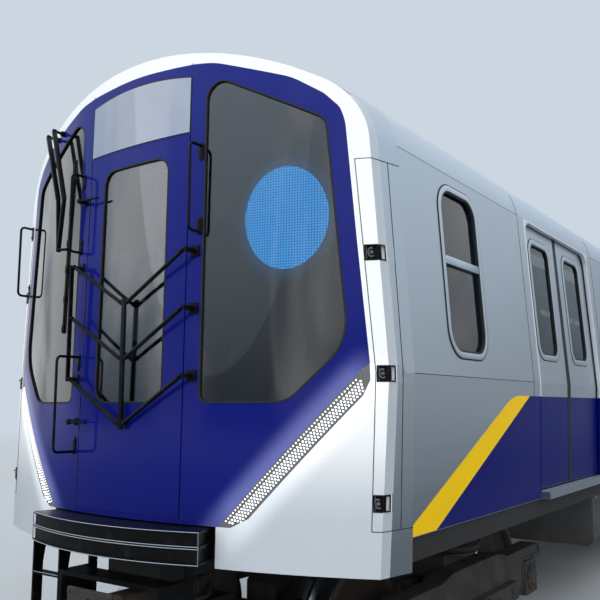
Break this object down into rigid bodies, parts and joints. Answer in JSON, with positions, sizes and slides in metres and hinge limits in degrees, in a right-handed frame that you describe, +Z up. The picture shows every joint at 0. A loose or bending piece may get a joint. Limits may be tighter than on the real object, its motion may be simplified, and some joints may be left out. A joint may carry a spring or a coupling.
{
  "type": "metro car",
  "caption": "Metro cab car with a rounded blue cab front, folding gate, sliding doors and two powered trucks.",
  "frame": {"origin": "middle of the car's length and width, level with the wheel flange tips, 28 mm below the rail head", "axes": "+Z up, -Y towards the cab front, +X towards the driver's left side"},
  "size_m": [3.05, 18.35, 3.7479],
  "materials": {
    "bench_plastic": "moulded",
    "black_iron": "satin black",
    "brushed_body": "brushed satin",
    "console_plastic": "grained",
    "end_metal": "satin silver",
    "lamp": "clear lens",
    "leaf_paint": "satin silver above a blue band",
    "lining": "satin pale grey",
    "mask_paint": "gloss blue, with a white rim and silver corners",
    "pole_steel": "polished",
    "seat_fabric": "woven",
    "tinted_glass": "tinted",
    "truck_iron": "matt",
    "under_paint": "matt black",
    "wheel_steel": "turned"
  },
  "bodies": {
    "carbody": {"anticlimbers": "black_iron", "benches": "bench_plastic", "body_glass": "tinted_glass", "cab_partition": "lining", "cab_shell": "brushed_body", "cant_rails": "brushed_body", "ceiling": "lining", "ceiling_lights": "lamp", "corner_brackets": "black_iron", "door_latches": "black_iron", "driver_console": "console_plastic", "driver_seat": "seat_fabric", "end_steps": "black_iron", "floor_frame": "under_paint", "front_glass": "tinted_glass", "front_mask": "mask_paint", "gate_brackets": "black_iron", "grab_handles": "black_iron", "light_strips": "lamp", "rear_end_wall": "end_metal", "roof": "brushed_body", "side_panels_left": "brushed_body", "side_panels_right": "brushed_body", "stanchions": "pole_steel", "underfloor_cases": "under_paint", "wiper": "black_iron"},
    "left_door_1_front": {"left_door_1_front": "leaf_paint"},
    "left_door_1_rear": {"left_door_1_rear": "leaf_paint"},
    "left_door_2_front": {"left_door_2_front": "leaf_paint"},
    "left_door_2_rear": {"left_door_2_rear": "leaf_paint"},
    "left_door_3_front": {"left_door_3_front": "leaf_paint"},
    "left_door_3_rear": {"left_door_3_rear": "leaf_paint"},
    "left_door_4_front": {"left_door_4_front": "leaf_paint"},
    "left_door_4_rear": {"left_door_4_rear": "leaf_paint"},
    "right_door_1_front": {"right_door_1_front": "leaf_paint"},
    "right_door_1_rear": {"right_door_1_rear": "leaf_paint"},
    "right_door_2_front": {"right_door_2_front": "leaf_paint"},
    "right_door_2_rear": {"right_door_2_rear": "leaf_paint"},
    "right_door_3_front": {"right_door_3_front": "leaf_paint"},
    "right_door_3_rear": {"right_door_3_rear": "leaf_paint"},
    "right_door_4_front": {"right_door_4_front": "leaf_paint"},
    "right_door_4_rear": {"right_door_4_rear": "leaf_paint"},
    "front_door": {"front_door": "mask_paint", "front_door_glass": "tinted_glass"},
    "rear_door": {"rear_door": "end_metal"},
    "cab_door": {"cab_door": "lining"},
    "gate_arms_upper": {"gate_arms_upper": "black_iron"},
    "gate_arms_middle": {"gate_arms_middle": "black_iron"},
    "gate_arms_lower": {"gate_arms_lower": "black_iron"},
    "gate_post": {"gate_post": "black_iron"},
    "truck_front": {"truck_frame_front": "truck_iron", "axle_boxes_front": "truck_iron"},
    "wheelset_front_1": {"wheelset_front_1": "wheel_steel"},
    "wheelset_front_2": {"wheelset_front_2": "wheel_steel"},
    "coupler_front": {"coupler_front": "truck_iron"},
    "truck_rear": {"truck_frame_rear": "truck_iron", "axle_boxes_rear": "truck_iron"},
    "wheelset_rear_1": {"wheelset_rear_1": "wheel_steel"},
    "wheelset_rear_2": {"wheelset_rear_2": "wheel_steel"},
    "coupler_rear": {"coupler_rear": "truck_iron"}
  },
  "joints": [
    {"name": "left_door_1_front_slide", "type": "slide", "parent": "carbody", "child": "left_door_1_front", "axis": [0, -1, 0], "range_m": [0, 0.7365]},
    {"name": "left_door_1_rear_slide", "type": "slide", "parent": "carbody", "child": "left_door_1_rear", "axis": [0, 1, 0], "range_m": [0, 0.7365]},
    {"name": "left_door_2_front_slide", "type": "slide", "parent": "carbody", "child": "left_door_2_front", "axis": [0, -1, 0], "range_m": [0, 0.7365]},
    {"name": "left_door_2_rear_slide", "type": "slide", "parent": "carbody", "child": "left_door_2_rear", "axis": [0, 1, 0], "range_m": [0, 0.7365]},
    {"name": "left_door_3_front_slide", "type": "slide", "parent": "carbody", "child": "left_door_3_front", "axis": [0, -1, 0], "range_m": [0, 0.7365]},
    {"name": "left_door_3_rear_slide", "type": "slide", "parent": "carbody", "child": "left_door_3_rear", "axis": [0, 1, 0], "range_m": [0, 0.7365]},
    {"name": "left_door_4_front_slide", "type": "slide", "parent": "carbody", "child": "left_door_4_front", "axis": [0, -1, 0], "range_m": [0, 0.7365]},
    {"name": "left_door_4_rear_slide", "type": "slide", "parent": "carbody", "child": "left_door_4_rear", "axis": [0, 1, 0], "range_m": [0, 0.7365]},
    {"name": "right_door_1_front_slide", "type": "slide", "parent": "carbody", "child": "right_door_1_front", "axis": [0, -1, 0], "range_m": [0, 0.7365]},
    {"name": "right_door_1_rear_slide", "type": "slide", "parent": "carbody", "child": "right_door_1_rear", "axis": [0, 1, 0], "range_m": [0, 0.7365]},
    {"name": "right_door_2_front_slide", "type": "slide", "parent": "carbody", "child": "right_door_2_front", "axis": [0, -1, 0], "range_m": [0, 0.7365]},
    {"name": "right_door_2_rear_slide", "type": "slide", "parent": "carbody", "child": "right_door_2_rear", "axis": [0, 1, 0], "range_m": [0, 0.7365]},
    {"name": "right_door_3_front_slide", "type": "slide", "parent": "carbody", "child": "right_door_3_front", "axis": [0, -1, 0], "range_m": [0, 0.7365]},
    {"name": "right_door_3_rear_slide", "type": "slide", "parent": "carbody", "child": "right_door_3_rear", "axis": [0, 1, 0], "range_m": [0, 0.7365]},
    {"name": "right_door_4_front_slide", "type": "slide", "parent": "carbody", "child": "right_door_4_front", "axis": [0, -1, 0], "range_m": [0, 0.7365]},
    {"name": "right_door_4_rear_slide", "type": "slide", "parent": "carbody", "child": "right_door_4_rear", "axis": [0, 1, 0], "range_m": [0, 0.7365]},
    {"name": "front_door_hinge", "type": "hinge", "parent": "carbody", "child": "front_door", "pos_m": [0.406, -8.87565, 1.185], "axis": [0, -0.014, -0.9999], "range_deg": [0, 90]},
    {"name": "rear_door_hinge", "type": "hinge", "parent": "carbody", "child": "rear_door", "pos_m": [-0.386, 8.886, 1.528], "axis": [0, 0, -1], "range_deg": [0, 90]},
    {"name": "cab_door_hinge", "type": "hinge", "parent": "carbody", "child": "cab_door", "pos_m": [0.456, -7.326, 1.528], "axis": [0, 0, -1], "range_deg": [0, 90]},
    {"name": "gate_upper_pivot", "type": "hinge", "parent": "carbody", "child": "gate_arms_upper", "pos_m": [0, -8.985, 2.586], "axis": [-1, 0, 0], "range_deg": [0, 70]},
    {"name": "gate_middle_pivot", "type": "hinge", "parent": "carbody", "child": "gate_arms_middle", "pos_m": [0, -8.985, 2.28], "axis": [-1, 0, 0], "range_deg": [0, 70]},
    {"name": "gate_lower_pivot", "type": "hinge", "parent": "carbody", "child": "gate_arms_lower", "pos_m": [0, -8.985, 1.928], "axis": [-1, 0, 0], "range_deg": [0, 70]},
    {"name": "gate_post_pin", "type": "hinge", "parent": "gate_arms_upper", "child": "gate_post", "pos_m": [0, -8.985, 2.338], "axis": [1, 0, 0], "range_deg": [0, 70]},
    {"name": "truck_front_swivel", "type": "hinge", "parent": "carbody", "child": "truck_front", "pos_m": [0, -6.795, 0.688], "axis": [0, 0, 1], "range_deg": [-9, 9]},
    {"name": "wheelset_front_1_spin", "type": "hinge", "parent": "truck_front", "child": "wheelset_front_1", "pos_m": [0, -7.836, 0.46], "axis": [1, 0, 0], "continuous": true},
    {"name": "wheelset_front_2_spin", "type": "hinge", "parent": "truck_front", "child": "wheelset_front_2", "pos_m": [0, -5.754, 0.46], "axis": [1, 0, 0], "continuous": true},
    {"name": "coupler_front_swing", "type": "hinge", "parent": "carbody", "child": "coupler_front", "pos_m": [0, -8.3, 0.738], "axis": [0, 0, 1], "range_deg": [-12, 12]},
    {"name": "truck_rear_swivel", "type": "hinge", "parent": "carbody", "child": "truck_rear", "pos_m": [0, 6.795, 0.688], "axis": [0, 0, 1], "range_deg": [-9, 9]},
    {"name": "wheelset_rear_1_spin", "type": "hinge", "parent": "truck_rear", "child": "wheelset_rear_1", "pos_m": [0, 5.754, 0.46], "axis": [1, 0, 0], "continuous": true},
    {"name": "wheelset_rear_2_spin", "type": "hinge", "parent": "truck_rear", "child": "wheelset_rear_2", "pos_m": [0, 7.836, 0.46], "axis": [1, 0, 0], "continuous": true},
    {"name": "coupler_rear_swing", "type": "hinge", "parent": "carbody", "child": "coupler_rear", "pos_m": [0, 8.3, 0.738], "axis": [0, 0, 1], "range_deg": [-12, 12]}
  ],
  "couplings": [
    {"joint": "left_door_1_rear_slide", "follows": "left_door_1_front_slide", "ratio": 1},
    {"joint": "left_door_2_rear_slide", "follows": "left_door_2_front_slide", "ratio": 1},
    {"joint": "left_door_3_rear_slide", "follows": "left_door_3_front_slide", "ratio": 1},
    {"joint": "left_door_4_rear_slide", "follows": "left_door_4_front_slide", "ratio": 1},
    {"joint": "right_door_1_rear_slide", "follows": "right_door_1_front_slide", "ratio": 1},
    {"joint": "right_door_2_rear_slide", "follows": "right_door_2_front_slide", "ratio": 1},
    {"joint": "right_door_3_rear_slide", "follows": "right_door_3_front_slide", "ratio": 1},
    {"joint": "right_door_4_rear_slide", "follows": "right_door_4_front_slide", "ratio": 1},
    {"joint": "gate_middle_pivot", "follows": "gate_upper_pivot", "ratio": 1},
    {"joint": "gate_lower_pivot", "follows": "gate_upper_pivot", "ratio": 1},
    {"joint": "gate_post_pin", "follows": "gate_upper_pivot", "ratio": 1}
  ]
}
